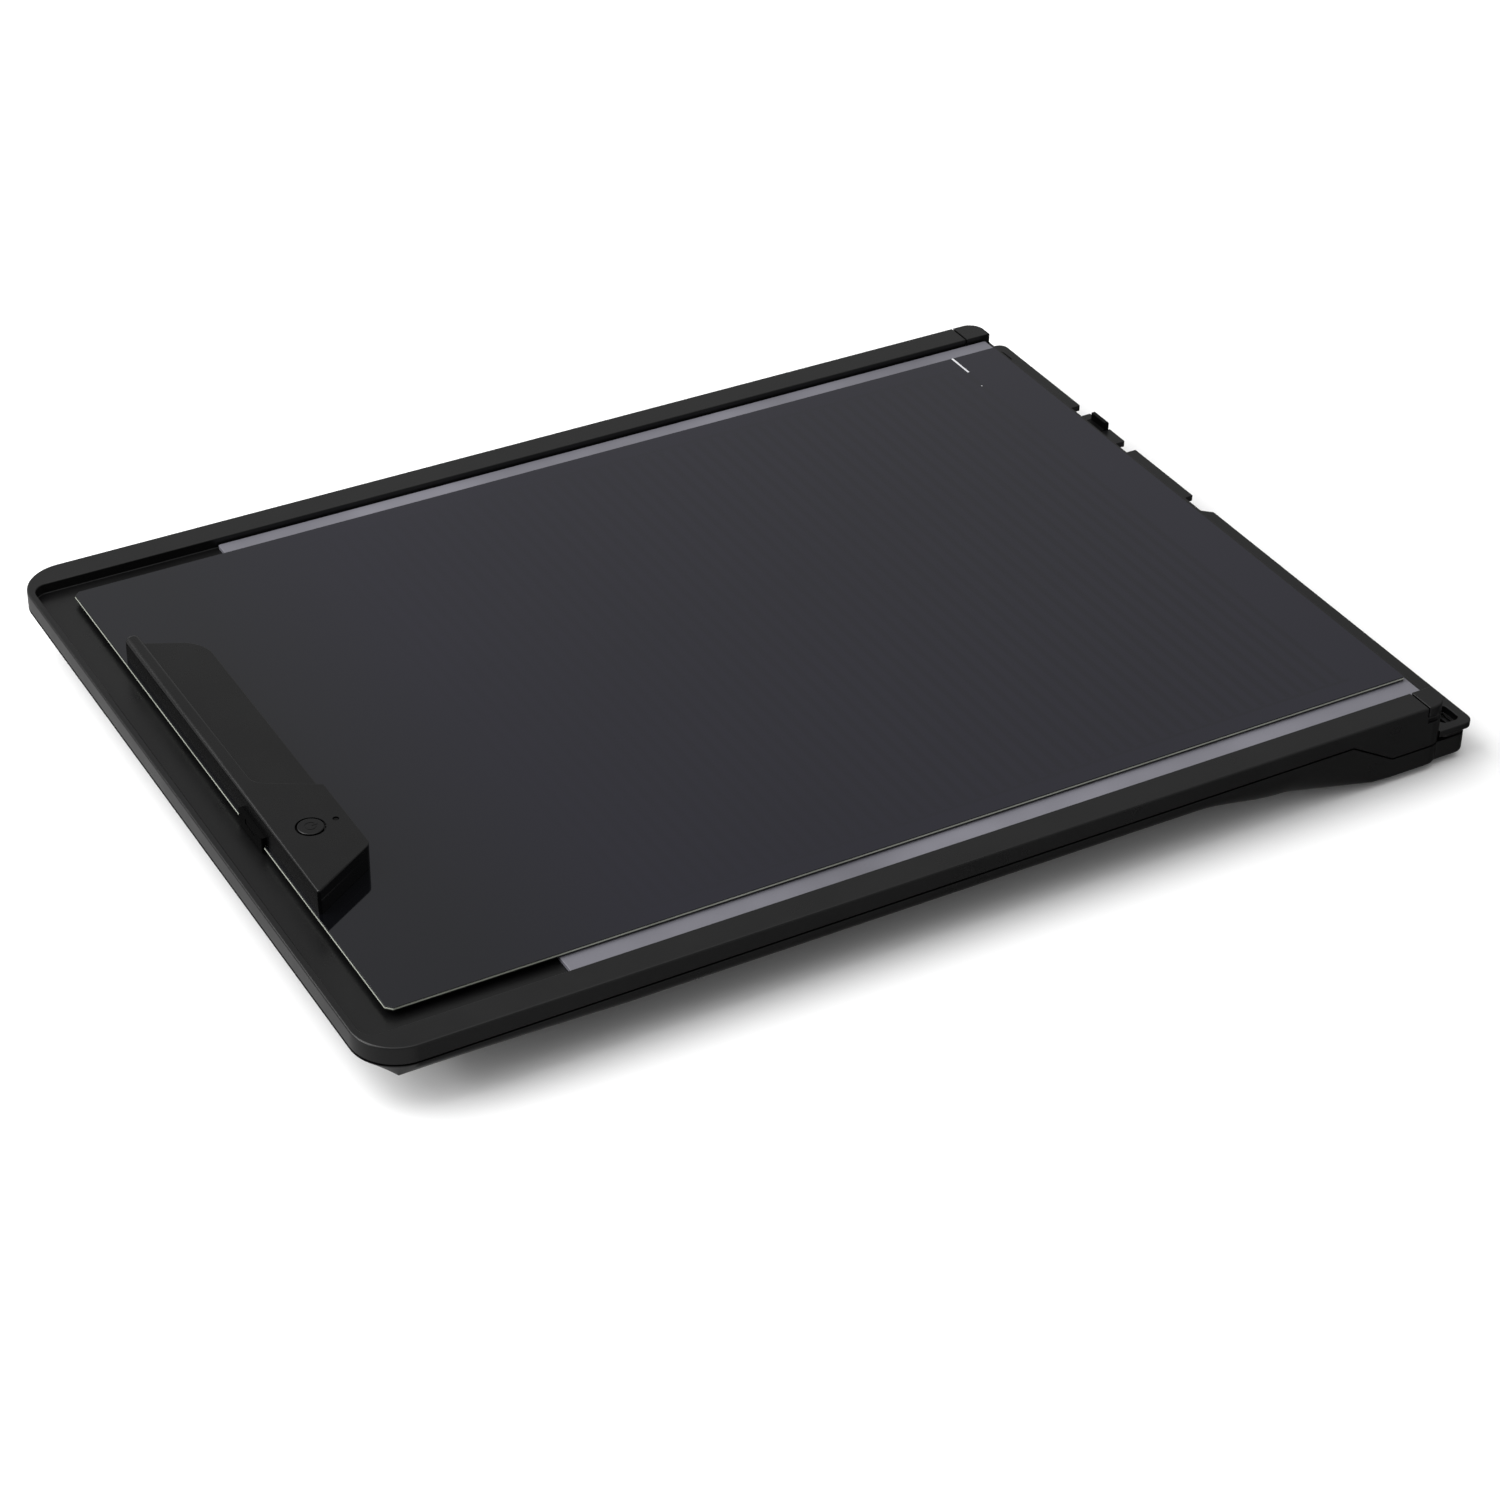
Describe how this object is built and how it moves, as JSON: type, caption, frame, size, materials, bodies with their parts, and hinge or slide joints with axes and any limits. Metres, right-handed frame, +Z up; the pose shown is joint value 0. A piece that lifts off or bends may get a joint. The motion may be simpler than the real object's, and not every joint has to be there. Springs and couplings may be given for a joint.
{
  "type": "electrostatic sheet bed",
  "caption": "Thin glossy electrostatic hold-down mat with a powered handle, sliding on a shallow railed feed tray with a docking ledge.",
  "frame": {"origin": "centre of the underside of the object's box, on the surface that it stands on", "axes": "+X along the feed direction towards the docking ledge, +Y to the far rail, +Z up"},
  "size_m": [0.52, 0.3802, 0.0448],
  "materials": {
    "tray_plastic": "fine moulded texture, charcoal",
    "base_plastic": "fine moulded texture, charcoal",
    "cap_plastic": "satin, charcoal",
    "glide_strip": "smooth grey low-friction strip",
    "latch_plastic": "black, satin",
    "leg_plastic": "black",
    "pad_rubber": "black, matt",
    "spring_steel": "bright wire",
    "screw_steel": "zinc plated",
    "mat_core": "pale green-white glass-epoxy, seen at the edge",
    "mat_film": "glossy near-black face",
    "comb_ink": "printed conductive lines",
    "case_plastic": "satin black, fine texture",
    "button_plastic": "satin black",
    "light_pipe": "clear, dim",
    "led_lamp": "clear resin",
    "circuit_board": "green solder mask",
    "switch_plastic": "black",
    "potting": "black resin",
    "cell_foil": "laminate foil",
    "inlet_steel": "plated shell",
    "contact_gold": "gold plated"
  },
  "bodies": {
    "tray": {"deck_shell": "tray_plastic", "base_shell": "base_plastic", "near_rail_cap": "cap_plastic", "far_rail_cap": "cap_plastic", "near_glide_strip": "glide_strip", "far_glide_strip": "glide_strip", "latch_spring": "spring_steel", "near_left_leg": "leg_plastic", "far_left_leg": "leg_plastic", "near_left_pad": "pad_rubber", "far_left_pad": "pad_rubber", "near_right_pad": "pad_rubber", "far_right_pad": "pad_rubber", "base_screw_1": "screw_steel", "base_screw_2": "screw_steel", "base_screw_3": "screw_steel", "base_screw_4": "screw_steel", "base_screw_5": "screw_steel", "base_screw_6": "screw_steel"},
    "mat": {"mat_core": "mat_core", "mat_face_film": "mat_film", "electrode_comb_near": "comb_ink", "electrode_comb_far": "comb_ink", "handle_top_case": "case_plastic", "handle_bottom_case": "case_plastic", "button_switch": "switch_plastic", "status_light_pipe": "light_pipe", "status_led": "led_lamp", "control_board": "circuit_board", "hv_module": "potting", "battery_pack": "cell_foil", "charging_inlet": "inlet_steel", "contact_pin_1": "contact_gold", "contact_pin_2": "contact_gold", "handle_screw_1": "screw_steel", "handle_screw_2": "screw_steel", "handle_screw_3": "screw_steel"},
    "button": {"power_button": "button_plastic"},
    "latch": {"dock_latch": "latch_plastic"}
  },
  "joints": [
    {"name": "mat_feed", "type": "slide", "parent": "tray", "child": "mat", "axis": [1, 0, 0], "range_m": [-0.012, 0.4]},
    {"name": "button_press", "type": "slide", "parent": "mat", "child": "button", "axis": [0, 0, -1], "range_m": [0, 0.0008], "stiffness_N_per_m": 1500, "springref_m": -0.0006},
    {"name": "latch_press", "type": "slide", "parent": "tray", "child": "latch", "axis": [0, 0, -1], "range_m": [0, 0.003], "stiffness_N_per_m": 800, "springref_m": -0.003, "deforming": ["latch_spring"]}
  ]
}
